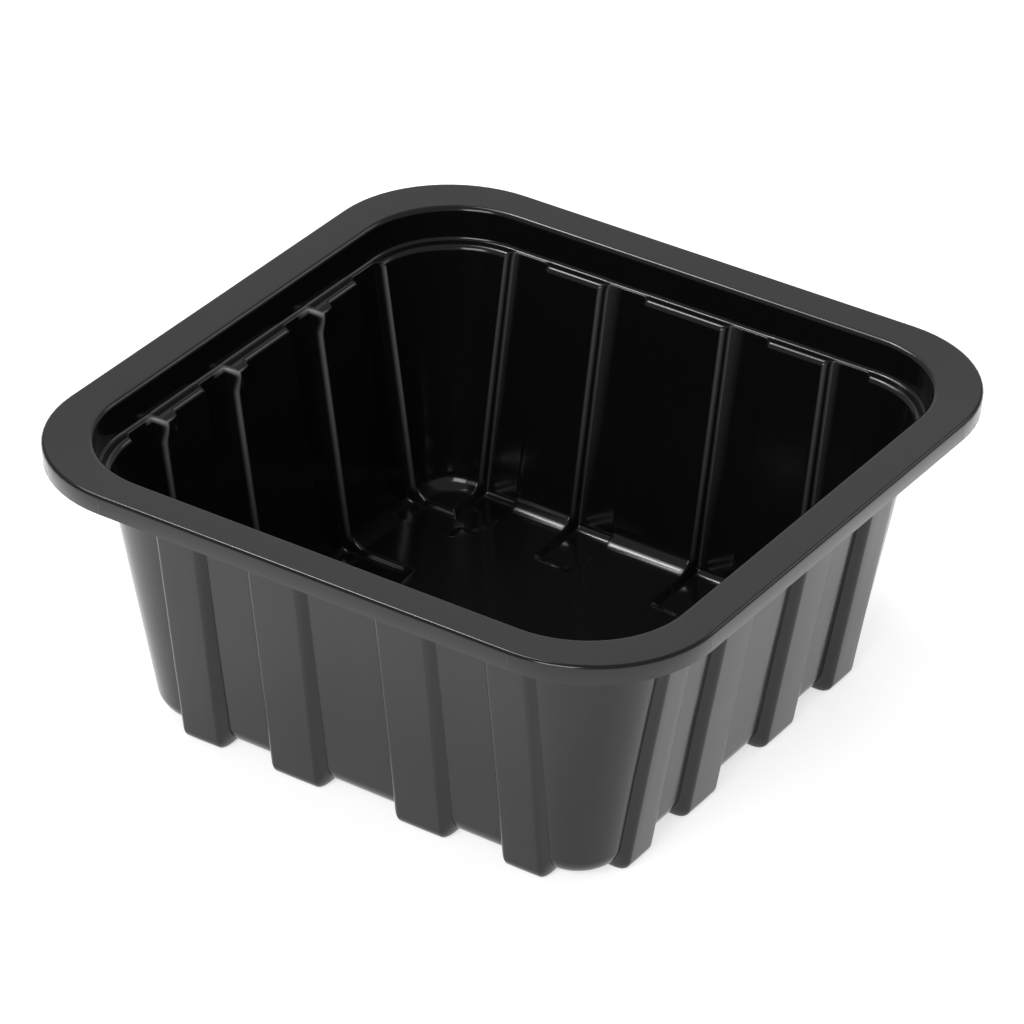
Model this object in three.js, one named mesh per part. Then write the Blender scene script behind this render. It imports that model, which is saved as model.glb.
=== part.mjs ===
// A square food tray, deep-drawn from one thin sheet of black plastic: a flat sealing flange with
// a short skirt, a sloping collar and a ledge under it, and four drafted walls. Every wall carries
// four ribs, which are channels on the inside and run under the floor as sixteen short feet.
//
// The sheet is one closed shell. Its upper skin is worked out from two cross-sections, one through
// a flat panel and one through a channel, blended round the outline; its lower skin is the same
// pair of sections moved outwards by the thickness of the sheet.
import * as THREE from "three";
import { mergeVertices } from "three/addons/utils/BufferGeometryUtils.js";

// ---- Driving dimensions, in millimetres -------------------------------------------------
const TRAY_HEIGHT = 64;
const SHEET_THICKNESS = 0.7;

const RIM_HALF = 75;
const RIM_CORNER_RADIUS = 28;
const SKIRT_DEPTH = 3;
const SKIRT_FLARE = 0.1;
const SHOULDER_RADIUS = 1.2;

const MOUTH_HALF = 65.4;
const MOUTH_EDGE_RADIUS = 1.0;
const COLLAR_FOOT_HALF = 63.9;
const LEDGE_DEPTH = 6.6;
const LEDGE_FILLET_RADIUS = 1.2;
const LEDGE_NOSE_RADIUS = 1.1;

const PANEL_TOP_HALF = 61;
const PANEL_DRAFT = 0.155;
const CHANNEL_TOP_HALF = 62.7;
const CHANNEL_DRAFT = 0.135;
const WALL_STRAIGHT_HALF = 44.2;

const FLOOR_RISE = 1.4;
const PANEL_FOOT_RADIUS = 4;
const CHANNEL_FOOT_RADIUS = 1.6;
const FLOOR_PATCH_HALF = 46.5;

const CHANNEL_PITCHES = [-38.8, -14.8, 14.8, 38.8];
const CHANNEL_MOUTH_WIDTH = 9.8;
const CHANNEL_BED_WIDTH = 6.4;
const FOOT_INNER_END = 39;
const FOOT_END_RAMP = 1.6;

const CORNER_STEPS = 6;
const ROUND_STEPS = 2;

// ---- Sizes worked out from them ---------------------------------------------------------
// Depths are measured down from the top of the rim.
const FOOT_BED_DEPTH = TRAY_HEIGHT - SHEET_THICKNESS;
const FLOOR_DEPTH = FOOT_BED_DEPTH - FLOOR_RISE;
const OUTER_CHANNEL_WIDENING = SHEET_THICKNESS * Math.tan(Math.PI / 8);

/** Half width of a drafted wall whose top, at the ledge, has the half width given. */
function draftedHalf(topHalf, draft, depth) {
  return topHalf - draft * (depth - LEDGE_DEPTH);
}

/** Points [half width, depth] of a round from one tangent angle to another. */
function round(half, depth, radius, startAngle, endAngle, steps = ROUND_STEPS) {
  const points = [];
  for (let i = 0; i <= steps; i += 1) {
    const angle = startAngle + ((endAngle - startAngle) * i) / steps;
    points.push([half + radius * Math.cos(angle), depth - radius * Math.sin(angle)]);
  }
  return points;
}

/** The flange with its skirt, shoulder and mouth edge: the same all the way round. */
function rimSection() {
  const shoulderHalf = RIM_HALF - SHOULDER_RADIUS;
  const mouthHalf = MOUTH_HALF + MOUTH_EDGE_RADIUS;
  const lean = Math.atan((MOUTH_HALF - COLLAR_FOOT_HALF) / LEDGE_DEPTH);
  return [
    [RIM_HALF + SKIRT_FLARE, SKIRT_DEPTH],
    ...round(shoulderHalf, SHOULDER_RADIUS, SHOULDER_RADIUS, 0, Math.PI / 2),
    ...round(mouthHalf, MOUTH_EDGE_RADIUS, MOUTH_EDGE_RADIUS, Math.PI / 2, Math.PI - lean),
  ];
}

/** From the collar over the ledge to the top of a wall that stands `topHalf` from the middle. */
function ledgeSection(topHalf, draft) {
  const width = COLLAR_FOOT_HALF - topHalf;
  const scale = Math.min(1, (0.9 * width) / (LEDGE_FILLET_RADIUS + LEDGE_NOSE_RADIUS));
  const fillet = LEDGE_FILLET_RADIUS * scale;
  const nose = LEDGE_NOSE_RADIUS * scale;
  const lean = Math.atan(draft);
  const filletPoints = round(COLLAR_FOOT_HALF - fillet, LEDGE_DEPTH - fillet, fillet, 0, -Math.PI / 2);
  const nosePoints = round(topHalf + nose, LEDGE_DEPTH + nose, nose, Math.PI / 2, Math.PI - lean);
  return [...filletPoints, ...nosePoints];
}

/** From a drafted wall round its foot to a bed at `bedDepth`, and on to the edge of the floor. */
function footSection(topHalf, draft, bedDepth, radius) {
  const lean = Math.atan(draft);
  const wallHalf = draftedHalf(topHalf, draft, bedDepth);
  const centreHalf = wallHalf - radius * Math.tan((Math.PI / 2 - lean) / 2);
  const foot = round(centreHalf, bedDepth - radius, radius, -lean, -Math.PI / 2, ROUND_STEPS + 1);
  return [...foot, [FLOOR_PATCH_HALF, bedDepth]];
}

/** The whole section through a flat panel, from the edge of the skirt to the floor. */
function panelSection() {
  return [
    ...rimSection(),
    ...ledgeSection(PANEL_TOP_HALF, PANEL_DRAFT),
    ...footSection(PANEL_TOP_HALF, PANEL_DRAFT, FLOOR_DEPTH, PANEL_FOOT_RADIUS),
  ];
}

/** The whole section through the middle of a channel, with as many points as the panel's. */
function channelSection() {
  return [
    ...rimSection(),
    ...ledgeSection(CHANNEL_TOP_HALF, CHANNEL_DRAFT),
    ...footSection(CHANNEL_TOP_HALF, CHANNEL_DRAFT, FOOT_BED_DEPTH, CHANNEL_FOOT_RADIUS),
  ];
}

/** A section moved by the sheet's thickness, each point along the bisector of its two lines. */
function offsetSection(section, thickness) {
  const normalBetween = (a, b) => {
    const length = Math.hypot(b[0] - a[0], b[1] - a[1]);
    return [-(b[1] - a[1]) / length, (b[0] - a[0]) / length];
  };
  return section.map((point, i) => {
    const before = normalBetween(section[Math.max(i - 1, 0)], section[Math.max(i, 1)]);
    const lastStart = section.length - 2;
    const after = normalBetween(section[Math.min(i, lastStart)], section[Math.min(i + 1, lastStart + 1)]);
    const cosine = before[0] * after[0] + before[1] * after[1];
    const miter = thickness / (1 + cosine);
    return [point[0] - (before[0] + after[0]) * miter, point[1] - (before[1] + after[1]) * miter];
  });
}

/** The share of a channel's depth at a place along a side: 1 over its bed, 0 on the panels. */
function channelShare(along, widening) {
  const mouth = CHANNEL_MOUTH_WIDTH / 2 + widening;
  const bed = CHANNEL_BED_WIDTH / 2 + widening;
  const shares = CHANNEL_PITCHES.map((pitch) => (mouth - Math.abs(along - pitch)) / (mouth - bed));
  return Math.min(Math.max(...shares, 0), 1);
}

/** Lines along a side: the four edges of each channel, and the feet's inner ends. */
function sideLines(widening) {
  const mouth = CHANNEL_MOUTH_WIDTH / 2 + widening;
  const bed = CHANNEL_BED_WIDTH / 2 + widening;
  const lines = CHANNEL_PITCHES.flatMap((p) => [p - mouth, p - bed, p + bed, p + mouth]);
  for (const end of [FOOT_INNER_END, FOOT_INNER_END + FOOT_END_RAMP]) {
    lines.push(end, -end);
  }
  return lines.sort((a, b) => a - b);
}

/** How far the straight sides reach from the middle at a given half width of the outline. */
function straightHalf(half) {
  const rimStraight = RIM_HALF - RIM_CORNER_RADIUS;
  const share = (half - MOUTH_HALF) / (RIM_HALF - SHOULDER_RADIUS - MOUTH_HALF);
  const blend = Math.min(Math.max(share, 0), 1);
  return WALL_STRAIGHT_HALF + (rimStraight - WALL_STRAIGHT_HALF) * blend;
}

/** The outline's points for one side and the corner after it, in that side's own directions. */
function quarterOutline(half, widening) {
  const points = sideLines(widening).map((along) => {
    return { out: half, along, channel: channelShare(along, widening) };
  });
  const centre = straightHalf(half);
  const radius = half - centre;
  for (let i = 0; i <= CORNER_STEPS; i += 1) {
    const angle = (Math.PI / 2) * (i / CORNER_STEPS);
    const out = centre + radius * Math.cos(angle);
    const along = centre + radius * Math.sin(angle);
    points.push({ out, along, channel: 0 });
  }
  return points;
}

/** Turns a point given as distance out of and along a side into x and y, for sides 0 to 3. */
function turnToSide(out, along, side) {
  const angle = (side * Math.PI) / 2;
  const cosine = Math.round(Math.cos(angle));
  const sine = Math.round(Math.sin(angle));
  return [out * cosine - along * sine, out * sine + along * cosine];
}

/** One closed ring of the wall: the panel's and the channel's points blended round the outline. */
function wallRing(panelPoint, channelPoint, widening) {
  const ring = [];
  const outline = quarterOutline(panelPoint[0], widening);
  const push = channelPoint[0] - panelPoint[0];
  const sink = channelPoint[1] - panelPoint[1];
  for (let side = 0; side < 4; side += 1) {
    for (const { out, along, channel } of outline) {
      const [x, y] = turnToSide(out + push * channel, along, side);
      ring.push([x, y, TRAY_HEIGHT - (panelPoint[1] + sink * channel)]);
    }
  }
  return ring;
}

/** The share of a foot's depth at a place: full over its bed, none past its inner end. */
function footShare(across, inward, widening) {
  const reach = (Math.abs(inward) - FOOT_INNER_END) / FOOT_END_RAMP;
  return channelShare(across, widening) * Math.min(Math.max(reach, 0), 1);
}

/** The floor's grid, with its square edge bent to the round corners of the wall's last ring. */
function floorGrid(widening, depth, half) {
  const blockSteps = CORNER_STEPS / 2;
  const radius = half - WALL_STRAIGHT_HALF;
  const middle = [-WALL_STRAIGHT_HALF, ...sideLines(widening), WALL_STRAIGHT_HALF];
  const block = [];
  for (let i = 1; i <= blockSteps; i += 1) {
    block.push(Math.SQRT2 * Math.sin((Math.PI / 4) * (i / blockSteps)));
  }
  const places = [
    ...block.map((b) => ({ line: -WALL_STRAIGHT_HALF, block: -b })).reverse(),
    ...middle.map((line) => ({ line, block: 0 })),
    ...block.map((b) => ({ line: WALL_STRAIGHT_HALF, block: b })),
  ];
  return places.map((row) => places.map((column) => {
    const x = column.line + radius * column.block * Math.sqrt(1 - row.block ** 2 / 2);
    const y = row.line + radius * row.block * Math.sqrt(1 - column.block ** 2 / 2);
    const share = Math.max(footShare(x, y, widening), footShare(y, x, widening));
    return [x, y, TRAY_HEIGHT - (depth + FLOOR_RISE * share)];
  }));
}

/** Collects triangles; a flag turns a skin over, so that its faces point out of the sheet. */
class TriangleList {
  constructor() {
    this.corners = [];
  }

  add(a, b, c, flipped) {
    this.corners.push(...a, ...(flipped ? c : b), ...(flipped ? b : c));
  }

  quad(a, b, c, d, flipped) {
    this.add(a, b, c, flipped);
    this.add(a, c, d, flipped);
  }

  strip(ring, nextRing, flipped) {
    const count = ring.length;
    for (let i = 0; i < count; i += 1) {
      const j = (i + 1) % count;
      this.quad(ring[i], ring[j], nextRing[j], nextRing[i], flipped);
    }
  }
}

/** One skin of the sheet: the wall's rings from the skirt's edge inwards, and the floor. */
function addSkin(triangles, panel, channel, widening, flipped) {
  const rings = panel.map((point, i) => wallRing(point, channel[i], widening));
  for (let i = 0; i + 1 < rings.length; i += 1) {
    triangles.strip(rings[i], rings[i + 1], flipped);
  }
  const [patchHalf, floorDepth] = panel[panel.length - 1];
  const grid = floorGrid(widening, floorDepth, patchHalf);
  for (let row = 0; row + 1 < grid.length; row += 1) {
    for (let column = 0; column + 1 < grid.length; column += 1) {
      const [a, b] = [grid[row][column], grid[row][column + 1]];
      const [c, d] = [grid[row + 1][column + 1], grid[row + 1][column]];
      triangles.quad(a, b, c, d, flipped);
    }
  }
  return rings[0];
}

function trayGeometry() {
  const triangles = new TriangleList();
  const panel = panelSection();
  const channel = channelSection();
  const upperEdge = addSkin(triangles, panel, channel, 0, false);
  const lowerPanel = offsetSection(panel, SHEET_THICKNESS);
  const lowerChannel = offsetSection(channel, SHEET_THICKNESS);
  const lowerEdge = addSkin(triangles, lowerPanel, lowerChannel, OUTER_CHANNEL_WIDENING, true);
  triangles.strip(lowerEdge, upperEdge, false);
  const geometry = new THREE.BufferGeometry();
  geometry.setAttribute("position", new THREE.Float32BufferAttribute(triangles.corners, 3));
  return mergeVertices(geometry, 1e-4);
}

const blackPlastic = new THREE.MeshStandardMaterial({ color: 0x17181a, roughness: 0.32, metalness: 0 });
const tray = new THREE.Mesh(trayGeometry(), blackPlastic);
tray.name = "tray";

const foodTray = new THREE.Group();
foodTray.add(tray);

export default foodTray;
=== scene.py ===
import math

import bpy
import numpy as np
from mathutils import Matrix


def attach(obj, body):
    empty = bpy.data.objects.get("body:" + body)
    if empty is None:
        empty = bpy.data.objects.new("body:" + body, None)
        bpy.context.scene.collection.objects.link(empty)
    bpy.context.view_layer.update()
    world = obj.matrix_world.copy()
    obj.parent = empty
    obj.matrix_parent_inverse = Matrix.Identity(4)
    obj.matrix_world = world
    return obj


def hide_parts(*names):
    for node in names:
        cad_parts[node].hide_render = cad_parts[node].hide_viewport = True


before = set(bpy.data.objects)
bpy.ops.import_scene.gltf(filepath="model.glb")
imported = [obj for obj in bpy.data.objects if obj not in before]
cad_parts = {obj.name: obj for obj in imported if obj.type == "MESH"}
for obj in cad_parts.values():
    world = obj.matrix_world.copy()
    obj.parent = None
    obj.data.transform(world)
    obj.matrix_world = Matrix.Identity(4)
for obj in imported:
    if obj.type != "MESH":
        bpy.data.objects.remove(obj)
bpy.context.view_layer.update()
scene = bpy.context.scene

# ---- The camera --------------------------------------------------------------------------
# A long lens a little over a metre away, looking down into the tray across its front corner.
# It aims at a point near the rim's plane, and is rolled a little round the line of sight.
aim = np.array([0.020032, -0.032175, 0.06316])
azimuth, elevation, roll = np.radians([32.737, 31.559, 1.497])
distance = 1.113254
focal_length, sensor_width = 203.43, 36
level = np.array([math.cos(azimuth), math.sin(azimuth), 0.0])
back = np.array([
    math.sin(azimuth) * math.cos(elevation),
    -math.cos(azimuth) * math.cos(elevation),
    math.sin(elevation),
])
above = np.cross(back, level)
right = level * math.cos(roll) + above * math.sin(roll)
up = above * math.cos(roll) - level * math.sin(roll)
lens = bpy.data.cameras.new("camera")
lens.sensor_width = sensor_width
lens.lens = focal_length
lens.clip_start = 0.05
lens.clip_end = 30
camera = bpy.data.objects.new("camera", lens)
scene.collection.objects.link(camera)
camera_pose = np.eye(4)
camera_pose[:3, 0], camera_pose[:3, 1], camera_pose[:3, 2] = right, up, back
camera_pose[:3, 3] = aim + distance * back
camera.matrix_world = Matrix(camera_pose.tolist())
scene.camera = camera

# ---- The tray ----------------------------------------------------------------------------
# One sheet of black polypropylene, warmed and drawn into a mould: flange, skirt, collar, ledge
# and four drafted walls. Each wall has four channels, which are ribs on the outside and end
# as short feet under the floor. Six small lugs keep stacked trays from jamming.

# Sizes are in mm. A half is a distance out from the tray's middle, and a depth goes down from
# the rim, both on the sheet's upper face.
sheet_thickness = 0.7
tray_height = 64.0
skirt_foot_half, skirt_depth = 74.8, 4.2
rim_half, rim_radius = 75.05, 0.75
mouth_half, mouth_drop, mouth_radius = 66.1, 0.3, 1.1
collar_foot_half, collar_foot_depth = 65.4, 7.55
floor_edge_half, floor_depth = 46.5, 61.9
bed_depth = tray_height - sheet_thickness
flange_half = 73.8
rim_corner_centre = 47.4
wall_corner_centre = 44.2
corner_steps = 16
bend_steps = [6, 5, 5, 6, 8]
wall_rows = [1.0, 2.2, 3.6, 5, 8, 14, 30]

# A channel runs down a wall. Its flanks slope over flank_run, and its mouth is wider than its
# foot by mouth_taper to each side.
channel_centres = np.array([-38.9, -14.8, 14.8, 38.9])
channel_mouths = np.array([9.4, 10.2, 10.2, 9.4])
flank_run, flank_bend = 0.9, 0.5
mouth_taper, taper_top, taper_run = 0.35, 8, 50
foot_reach, foot_ramp, foot_bend = 38.0, 2.4, 0.3

# The lugs stand on the panels just beside the first three channels of two walls: how far they
# push in and down, how far they go along, and the depths at which they begin and fade out.
lugged_channels = 3
lug_push, lug_drop = 1.2, 0.35
lug_reach, lug_overlap, lug_run, lug_bend = 4.0, 0.3, 0.9, 0.3
lug_top, lug_rise = 7.7, 0.5
lug_fade_top, lug_fade_run = 9.0, 5.5

# The four walls are one outline turned by quarters: the cosine and sine of each turn, the way
# the lugs lie from their channels, and the flank of each channel that gets a painted highlight.
wall_turns = {"right": (1, 0), "back": (0, 1), "left": (-1, 0), "front": (0, -1)}
lug_ways = {"right": 1, "left": -1}
highlight_ways = {"right": 1, "back": 1, "left": -1, "front": -1}

# Where the channel mouths really begin and end along each wall, unevenly, as on the real tray.
mouth_edges = {
    "right": [-44.6, -35.0, -23.0, -10.8, 6.6, 18.8, 32.0, 42.0],
    "back": [-44.1, -34.6, -20.6, -10.2, 9.4, 19.6, 33.8, 43.7],
    "left": [-42.6, -33.4, -18.2, -8.9, 11.4, 20.6, 35.8, 44.9],
    "front": [-41.8, -31.6, -20.2, -7.6, 9.6, 22.2, 35.0, 45.0],
}


def straight_ramp(value, start, run):
    """0 up to the start, 1 from start + run on, and a straight line between."""
    return np.clip((value - start) / run, 0, 1)


def eased_ramp(t, low, high):
    """0 before t = 0, t itself up to 1, and 1 after. Each bend is a parabola that reaches
    low or high to either side of it."""
    foot = (np.clip(t, -low, low) + low) ** 2 / (4 * low)
    rest = 1 - t
    head = 1 - (np.clip(rest, -high, high) + high) ** 2 / (4 * high)
    return np.where(rest < high, head, np.where(t > low, t, foot))


def bell(distance, width):
    """1 at distance 0, falling off to either side as exp(-(distance / width) ** 2)."""
    return np.exp(-(distance / width) ** 2)


def rounded_line(corners, radii, steps):
    """Straight lines between the corners, with every bend an arc of its own radius: it starts
    radius * tan(half the turn) before the corner and turns from one line into the next."""
    corners = np.asarray(corners, float)
    along = np.diff(corners, axis=0)
    along /= np.linalg.norm(along, axis=1)[:, None]
    points = [corners[:1]]
    for i, (radius, count) in enumerate(zip(radii, steps)):
        before, after = along[i], along[i + 1]
        turn = math.acos(np.clip(before @ after, -1, 1))
        side = after - before * (before @ after)
        side /= np.linalg.norm(side)
        start = corners[i + 1] - before * radius * math.tan(turn / 2)
        angle = np.linspace(0, turn, count + 1)[:, None]
        points.append(start + radius * (np.sin(angle) * before + (1 - np.cos(angle)) * side))
    points.append(corners[-1:])
    return np.concatenate(points)


def tray_section(ledge_half, ledge_depth, slope, low, fillet, nose, foot):
    """Half and depth down the sheet's upper face, from the skirt's edge to the floor. The wall
    stands at ledge_half - slope * (depth - ledge_depth), and has rows of points at wall_rows
    below the ledge's nose. The radii of the ledge's fillet, its nose and the foot come last."""
    foot_half = ledge_half - slope * (low - ledge_depth)
    corners = [
        (skirt_foot_half, skirt_depth), (rim_half, 0), (mouth_half, mouth_drop),
        (collar_foot_half, collar_foot_depth), (ledge_half, ledge_depth),
        (foot_half, low), (floor_edge_half, low),
    ]
    section = rounded_line(corners, [rim_radius, mouth_radius, fillet, nose, foot], bend_steps)
    nose_end = sum(count + 1 for count in bend_steps[:4])
    top, bottom = section[nose_end], section[nose_end + 1]
    share = (np.asarray(wall_rows) / (bottom[1] - top[1]))[:, None]
    wall = top + share * (bottom - top)
    return np.concatenate([section[:nose_end + 1], wall, section[nose_end + 1:]])


def channel_share(along):
    """How deep a channel is at a place along a side: 1 over its bed, 0 on the panels."""
    inwards = channel_mouths / 2 - np.abs(np.asarray(along)[..., None] - channel_centres)
    return eased_ramp(inwards / flank_run, flank_bend, flank_bend).max(axis=-1)


def foot_share(across, inwards):
    """A foot's depth on the floor: the channel's share, falling off towards its inner end."""
    reach = (np.abs(inwards) - foot_reach) / foot_ramp
    return channel_share(across) * eased_ramp(reach, foot_bend, foot_bend)


def lug_share(along, way):
    """1 on the lugs at a place along a side, and 0 elsewhere. They lie past the lugged
    channels the way that way says, 1 or -1."""
    along = np.asarray(along)[..., None] * way
    starts = (channel_centres + channel_mouths / 2)[:lugged_channels] - flank_run - lug_overlap
    ends = starts + flank_run + lug_overlap + lug_reach
    inwards = np.minimum(along - starts, ends - along)
    return eased_ramp(inwards / lug_run, lug_bend, lug_bend).max(axis=-1)


panel = tray_section(
    ledge_half=62.8, ledge_depth=7.8, slope=0.168, low=floor_depth, fillet=0.85, nose=1.35, foot=4.4
)
bed = tray_section(
    ledge_half=64.5, ledge_depth=7.72, slope=0.160, low=bed_depth, fillet=0.8, nose=0.3, foot=2.2
)

# The lines of points down a side: round each edge of a channel's mouth, at these distances
# into the channel, then over the ends of the feet and near the side's middle.
edge_lines = np.array([
    -4.5, -4.15, -3.8, -3.3, -1.2, -0.45, -0.22, 0, 0.22, 0.45, 0.68, 0.9, 1.12, 1.35,
])
foot_lines = np.array([37.5, 38.0, 38.4, 39.5, 40.0, 40.5])
middle_lines = np.array([-2.5, 0, 2.5])
side_lines = np.concatenate([channel_centres] + [
    centre + way * (mouth / 2 - edge_lines)
    for centre, mouth in zip(channel_centres, channel_mouths) for way in (-1, 1)
])
side_lines = side_lines[np.abs(side_lines) < wall_corner_centre - 0.1]
side_lines = np.concatenate([side_lines, foot_lines, -foot_lines, middle_lines])
side_lines = np.unique(np.round(side_lines, 3))

# How far each line moves along at the channels' mouths, to widen them.
widening_places = np.sort(np.concatenate([
    channel_centres + way * channel_mouths / 2 for way in (-1, 0, 1)
]))
widening = np.interp(
    side_lines,
    np.concatenate([[-wall_corner_centre], widening_places, [wall_corner_centre]]),
    np.concatenate([[0], np.tile([-mouth_taper, 0, mouth_taper], len(channel_centres)), [0]]),
)


def ring_outline(half, depth):
    """One side and the corner after it, at each row's half and depth: distance out, and along.
    The channels are a little wider at the top than at the floor."""
    share = straight_ramp(half, mouth_half, flange_half - mouth_half)
    centre = wall_corner_centre + (rim_corner_centre - wall_corner_centre) * share
    angle = np.linspace(0, math.pi / 2, corner_steps + 1)
    stretch = centre / wall_corner_centre
    lines = side_lines + widening * (1 - straight_ramp(depth, taper_top, taper_run))
    out = np.hstack([
        np.repeat(half, len(side_lines), 1), centre + (half - centre) * np.cos(angle)
    ])
    along = np.hstack([lines * stretch, centre + (half - centre) * np.sin(angle)])
    return out, along


def with_corner(values):
    """Values along a side's lines, with zeros for the corner after it."""
    return np.concatenate([values, np.zeros(corner_steps + 1)])


def wall_points(turn, out, along, depth, fullness, lug):
    """One wall's grid of points: its outline pushed out and down by the channel's share and in
    and down by the lug's, then turned to its side of the tray."""
    share = with_corner(channel_share(side_lines))
    lug = fullness * lug
    to_bed = bed - panel
    out = out + to_bed[:, :1] * share - to_bed[:, :1] * share * lug - lug_push * lug
    depth = depth + to_bed[:, 1:] * share + lug_drop * lug
    cosine, sine = turn
    return np.stack([out * cosine - along * sine, out * sine + along * cosine, -depth], -1)


def wall_painted_highlights(side, depth):
    """Painted highlights on a wall, standing in for reflections of the lights: a line down one
    flank of each channel, which fades out before the foot. A wall with lugs has a brighter
    painted glint beside each of them, and a wall without has a second painted line at the flank's
    root."""
    inwards = (channel_mouths / 2)[:, None] - np.abs(side_lines - channel_centres[:, None])
    lip = bell(inwards - 0.05, 0.3)
    root = 0.7 * bell(inwards - 1.1, 0.25)
    edge = lip * 1.15 if side in lug_ways else lip * 0.85 + root
    # Painted highlight: only one flank of each channel gets the bright line, as a reflection of the
    # lights would.
    highlighted_flank = highlight_ways[side] * (side_lines - channel_centres[:, None]) > 0
    fading = straight_ramp(depth, 8.1, 0.4) * (1.0 - 0.62 * straight_ramp(depth, 0, 60))
    fading = fading * straight_ramp(floor_depth - 0.5 - depth, 0, 4)
    painted_highlight = fading * with_corner((edge * highlighted_flank).max(axis=0))
    if side in lug_ways:
        lug_roots = (channel_centres + channel_mouths / 2)[:lugged_channels] - flank_run
        spot = bell(side_lines * lug_ways[side] - lug_roots[:, None], 0.7).max(axis=0)
        # A painted glint, much brighter, where the lug's corner would catch the light.
        painted_highlight = painted_highlight + 3 * bell(depth - 8.5, 0.7) * with_corner(spot)
    return painted_highlight


def floor_points():
    """The floor's square grid. Its straight lines are the walls' lines; in the corner blocks
    the square is drawn in to a quarter disc, x * sqrt(1 - y * y / 2) and the same for y."""
    half_steps = corner_steps // 2
    block = math.sqrt(2) * np.sin(math.pi / 4 * np.arange(1, half_steps + 1) / half_steps)
    block_start = np.full(half_steps + 1, wall_corner_centre)
    lines = np.concatenate([-block_start, side_lines, block_start])
    blocks = np.concatenate([-block[::-1], np.zeros(len(side_lines) + 2), block])
    radius = floor_edge_half - wall_corner_centre
    line_x, line_y = np.meshgrid(lines, lines)
    block_x, block_y = np.meshgrid(blocks, blocks)
    x = line_x + radius * block_x * np.sqrt(1 - block_y ** 2 / 2)
    y = line_y + radius * block_y * np.sqrt(1 - block_x ** 2 / 2)
    share = np.maximum(foot_share(x, y), foot_share(y, x))
    depth = floor_depth + (bed_depth - floor_depth) * share
    return np.stack([x, y, -depth], -1)


def grid_faces(rows, columns, start, closed):
    """Quads between neighbouring rows and columns of a grid whose points start at start."""
    row = np.arange(rows - 1)[:, None] * columns
    column = np.arange(columns if closed else columns - 1)
    after = (column + 1) % columns
    corners = [row + column, row + after, row + columns + after, row + columns + column]
    return np.stack(corners, -1).reshape(-1, 4) + start


# The upper face: the walls' rings and the floor's grid, joined where their points meet.
panel_half, panel_depth = panel[:, :1], panel[:, 1:]
outline_out, outline_along = ring_outline(panel_half, panel_depth)
below_lug = straight_ramp(panel_depth, lug_fade_top, lug_fade_run)
lug_fullness = straight_ramp(panel_depth, lug_top, lug_rise)
lug_fullness = lug_fullness * (1 - below_lug * below_lug * (3 - 2 * below_lug))
walls, wall_highlights = [], []
for side, turn in wall_turns.items():
    lug = with_corner(lug_share(side_lines, lug_ways[side])) if side in lug_ways else 0
    walls.append(wall_points(turn, outline_out, outline_along, panel_depth, lug_fullness, lug))
    wall_highlights.append(wall_painted_highlights(side, panel_depth))
wall, painted_highlights = np.concatenate(walls, axis=1), np.concatenate(wall_highlights, axis=1)
floor_grid = floor_points()
points = np.concatenate([wall.reshape(-1, 3), floor_grid.reshape(-1, 3)])
faces = np.concatenate([
    grid_faces(wall.shape[0], wall.shape[1], 0, True),
    grid_faces(floor_grid.shape[0], floor_grid.shape[1], wall.shape[0] * wall.shape[1], False),
])
_, first, same = np.unique(np.round(points, 3), axis=0, return_index=True, return_inverse=True)
points = points[first]
painted_highlights = np.concatenate([painted_highlights.reshape(-1), np.zeros(floor_grid.size // 3)])[first]
faces = same.reshape(-1)[faces]
edge_ring = same.reshape(-1)[:wall.shape[1]]

# Every side has its own channel mouths: the grid's evenly set ones are slid along to them,
# from the depth slide_top down, and nothing past slide_end moves. Across the floor, the slide
# blends from one wall's to the opposite wall's.
slide_end, slide_top, slide_run = 58, 7.2, 1.5
blend_half = 36
even_edges = np.sort(np.concatenate([channel_centres + way * channel_mouths / 2 for way in (-1, 1)]))
even_edges = np.concatenate([[-slide_end], even_edges, [slide_end]])
lowered = straight_ramp(-points[:, 2], slide_top, slide_run)
blend = straight_ramp(points[:, :2], -blend_half, 2 * blend_half)
for axis, near_side, far_side in ((0, "front", "back"), (1, "left", "right")):
    place = points[:, axis].copy()
    near, far = [
        np.interp(place, even_edges, [-slide_end] + mouth_edges[side] + [slide_end])
        for side in (near_side, far_side)
    ]
    moved = near + (far - near) * blend[:, 1 - axis] - place
    points[:, axis] += np.where(np.abs(place) < slide_end, moved, 0) * lowered


def point_directions(face_directions):
    """Each point's direction: the sum of those of the faces around it, at unit length."""
    total = np.zeros_like(points)
    for corner in range(4):
        np.add.at(total, faces[:, corner], face_directions)
    return total / np.linalg.norm(total, axis=1)[:, None]


# The under face is the upper one set off by the sheet's thickness, along directions that are
# evened out a few times so that it turns the tight bends without folding.
evening_turns = 4
first_diagonal = points[faces[:, 2]] - points[faces[:, 0]]
second_diagonal = points[faces[:, 3]] - points[faces[:, 1]]
directions = point_directions(np.cross(first_diagonal, second_diagonal))
for _ in range(evening_turns):
    directions = point_directions(directions[faces].sum(axis=1))
under = points - directions * sheet_thickness
count = len(points)
next_ring = np.roll(edge_ring, -1)
edge_faces = np.stack([edge_ring + count, next_ring + count, next_ring, edge_ring], -1)
all_points = np.concatenate([points, under])
all_points[:, 2] += tray_height
all_faces = np.concatenate([faces, faces[:, ::-1] + count, edge_faces])

mesh = bpy.data.meshes.new("drawn_tray")
mesh.from_pydata((all_points / 1000).tolist(), [], all_faces.tolist())
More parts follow.
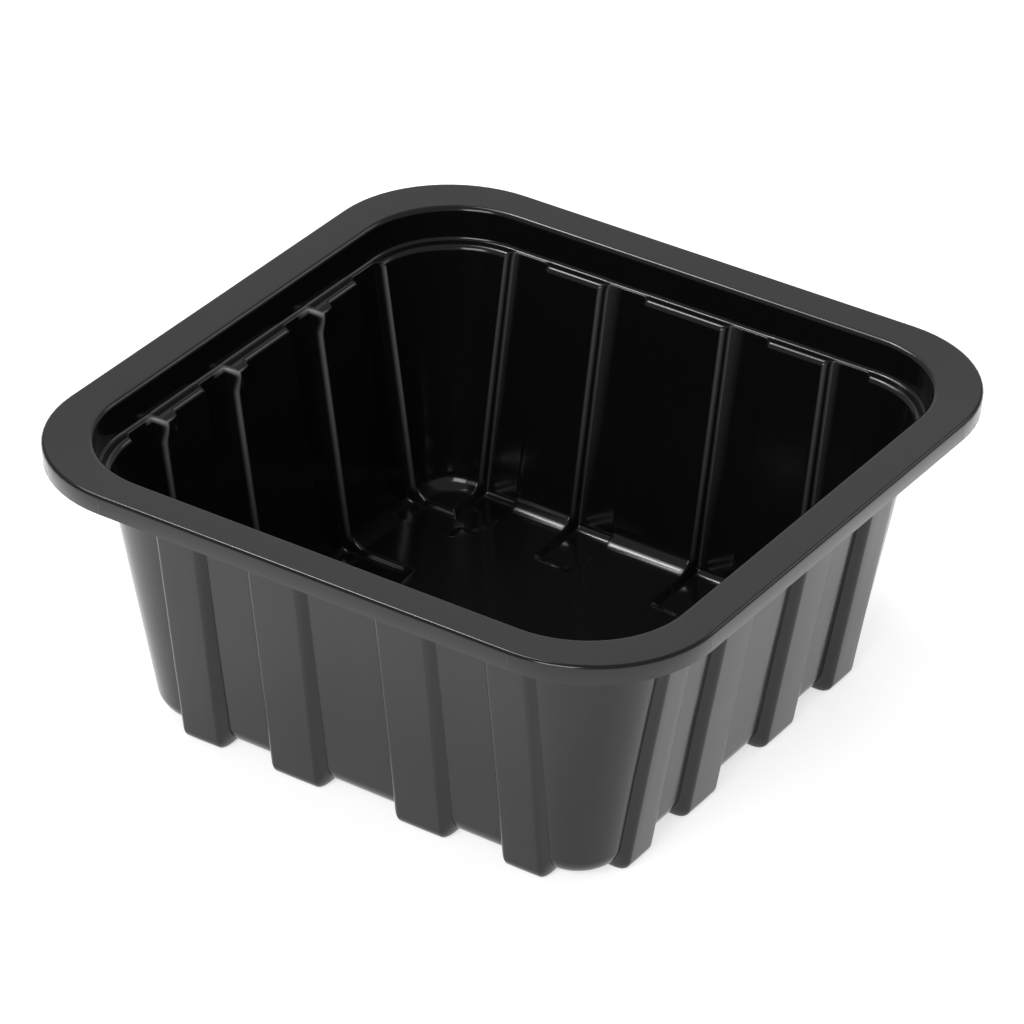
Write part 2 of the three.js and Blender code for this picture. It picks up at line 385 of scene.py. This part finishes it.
# Painted highlight strength at each point, zero on the under face, for the material to mix in pale
# grey.
painted_highlight = mesh.attributes.new("painted_highlight", "FLOAT", "POINT")
painted_highlight.data.foreach_set("value", np.concatenate([painted_highlights, np.zeros(count)]).astype(np.float32))
mesh.validate()
mesh.shade_smooth()
drawn_tray = bpy.data.objects.new("drawn_tray", mesh)
scene.collection.objects.link(drawn_tray)
even = drawn_tray.modifiers.new("even_shading", "WEIGHTED_NORMAL")
even.mode = "FACE_AREA"
even.weight = 50
even.keep_sharp = True

# Glossy black plastic, cloudy from the mould, with faint lines down the way it was drawn,
# slow waves where it cooled, and a pale grey painted highlight on the channel edges and lugs.
plastic_black = (0.0045, 0.0045, 0.0048, 1)
# Pale grey painted highlight colour for the channel edge lines and lug glints.
painted_highlight_grey = (0.62, 0.62, 0.64, 1)
line_stretch = 0.12
black = bpy.data.materials.new("black_polypropylene")
black.use_nodes = True
nodes, links = black.node_tree.nodes, black.node_tree.links
surface = nodes["Principled BSDF"]
surface.inputs["IOR"].default_value = 1.5
where = nodes.new("ShaderNodeTexCoord")
stretched = nodes.new("ShaderNodeMapping")
stretched.inputs["Scale"].default_value = (1, 1, line_stretch)
links.new(where.outputs["Object"], stretched.inputs["Vector"])


def noise(name, source, scale, detail):
    """A noise texture over the object's own coordinates, scale in cycles to the metre."""
    texture = nodes.new("ShaderNodeTexNoise")
    texture.name = name
    texture.inputs["Scale"].default_value = scale
    texture.inputs["Detail"].default_value = detail
    links.new(source, texture.inputs["Vector"])
    return texture.outputs["Fac"]


def carried_over(source, source_range, value_range):
    """The source's value carried over from one range to another."""
    carrier = nodes.new("ShaderNodeMapRange")
    keys = ("From Min", "From Max", "To Min", "To Max")
    for key, value in zip(keys, source_range + value_range):
        carrier.inputs[key].default_value = value
    links.new(source, carrier.inputs["Value"])
    return carrier.outputs["Result"]


def bump(height, strength, rise):
    """A bump node of that strength, whose height rises that far, in metres."""
    bumped = nodes.new("ShaderNodeBump")
    bumped.inputs["Strength"].default_value = strength
    bumped.inputs["Distance"].default_value = rise
    links.new(height, bumped.inputs["Height"])
    return bumped


cloudy = noise("cloudy", where.outputs["Object"], 45, 3)
drawn_lines = noise("drawn_lines", stretched.outputs["Vector"], 900, 2)
slow_waves = noise("slow_waves", where.outputs["Object"], 60, 1)
roughness = nodes.new("ShaderNodeMath")
roughness.operation = "ADD"
links.new(carried_over(cloudy, (0.3, 0.7), (0.10, 0.16)), roughness.inputs[0])
links.new(carried_over(drawn_lines, (0.35, 0.7), (0.0, 0.04)), roughness.inputs[1])
links.new(roughness.outputs["Value"], surface.inputs["Roughness"])
# The pale grey mixed over the black here is painted highlight, not wear.
highlight_place = nodes.new("ShaderNodeAttribute")
highlight_place.attribute_name = "painted_highlight"
tint = nodes.new("ShaderNodeMix")
tint.data_type = "RGBA"
tint.inputs["A"].default_value = plastic_black
tint.inputs["B"].default_value = painted_highlight_grey
links.new(carried_over(highlight_place.outputs["Fac"], (0.05, 4), (0, 1)), tint.inputs["Factor"])
links.new(tint.outputs["Result"], surface.inputs["Base Color"])
waves = bump(slow_waves, 0.2, 0.0004)
grain = bump(drawn_lines, 0.12, 0.00002)
links.new(waves.outputs["Normal"], grain.inputs["Normal"])
links.new(grain.outputs["Normal"], surface.inputs["Normal"])
mesh.materials.append(black)
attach(drawn_tray, "root")
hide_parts("tray")

# ---- The floor and the light -------------------------------------------------------------
# A white table that glows a little of itself, as a studio's light table does, in a pale room:
# a soft key light overhead to the left with a brighter middle, a soft light from the front, and
# two dim panels at the back.
table_half = 3.0
table_white = (0.8, 0.8, 0.8, 1)
table_glow, room_glow = 0.66, 0.34
table_mesh = bpy.data.meshes.new("white_table")
table_corners = [
    (x * table_half, y * table_half, 0) for x, y in ((-1, -1), (1, -1), (1, 1), (-1, 1))
]
table_mesh.from_pydata(table_corners, [], [(0, 1, 2, 3)])
white_table = bpy.data.objects.new("white_table", table_mesh)
scene.collection.objects.link(white_table)
paint = bpy.data.materials.new("white_paint")
paint.use_nodes = True
glow = paint.node_tree.nodes["Principled BSDF"]
glow.inputs["Base Color"].default_value = table_white
glow.inputs["Roughness"].default_value = 0.9
glow.inputs["Specular IOR Level"].default_value = 0.0
glow.inputs["Emission Color"].default_value = (1, 1, 1, 1)
glow.inputs["Emission Strength"].default_value = table_glow
table_mesh.materials.append(paint)

world = bpy.data.worlds.new("pale_room")
world.use_nodes = True
room = world.node_tree.nodes["Background"]
room.inputs["Color"].default_value = (1, 1, 1, 1)
room.inputs["Strength"].default_value = room_glow
scene.world = world


def soft_light(name, position, target, size, power):
    """A square soft light, size in metres and power in watts, turned to face the target."""
    lamp = bpy.data.lights.new(name, "AREA")
    lamp.shape = "SQUARE"
    lamp.size = size
    lamp.energy = power
    lamp_object = bpy.data.objects.new(name, lamp)
    scene.collection.objects.link(lamp_object)
    away = np.array(position, float) - np.array(target, float)
    away /= np.linalg.norm(away)
    across = np.cross([0, 0, 1], away)
    across /= np.linalg.norm(across)
    turned = np.eye(4)
    turned[:3, 0], turned[:3, 1], turned[:3, 2] = across, np.cross(away, across), away
    turned[:3, 3] = position
    lamp_object.matrix_world = Matrix(turned.tolist())


soft_light("key", (-0.66, 0.1, 1.26), (0, 0, 0), 0.6, 5.6)
soft_light("key_middle", (-0.64, 0.097, 1.222), (0, 0, 0), 0.15, 1.2)
soft_light("front", (0.25, -1.35, 0.85), (0, 0, 0.03), 0.8, 12)
soft_light("back_left", (-0.78, 1.22, 0.89), (0, 0, 0), 1.3, 1.7)
soft_light("back_right", (0.6, 1.0, 0.77), (0, 0, 0), 0.42, 0.8)

scene.view_settings.view_transform = "Standard"
scene.view_settings.look = "None"
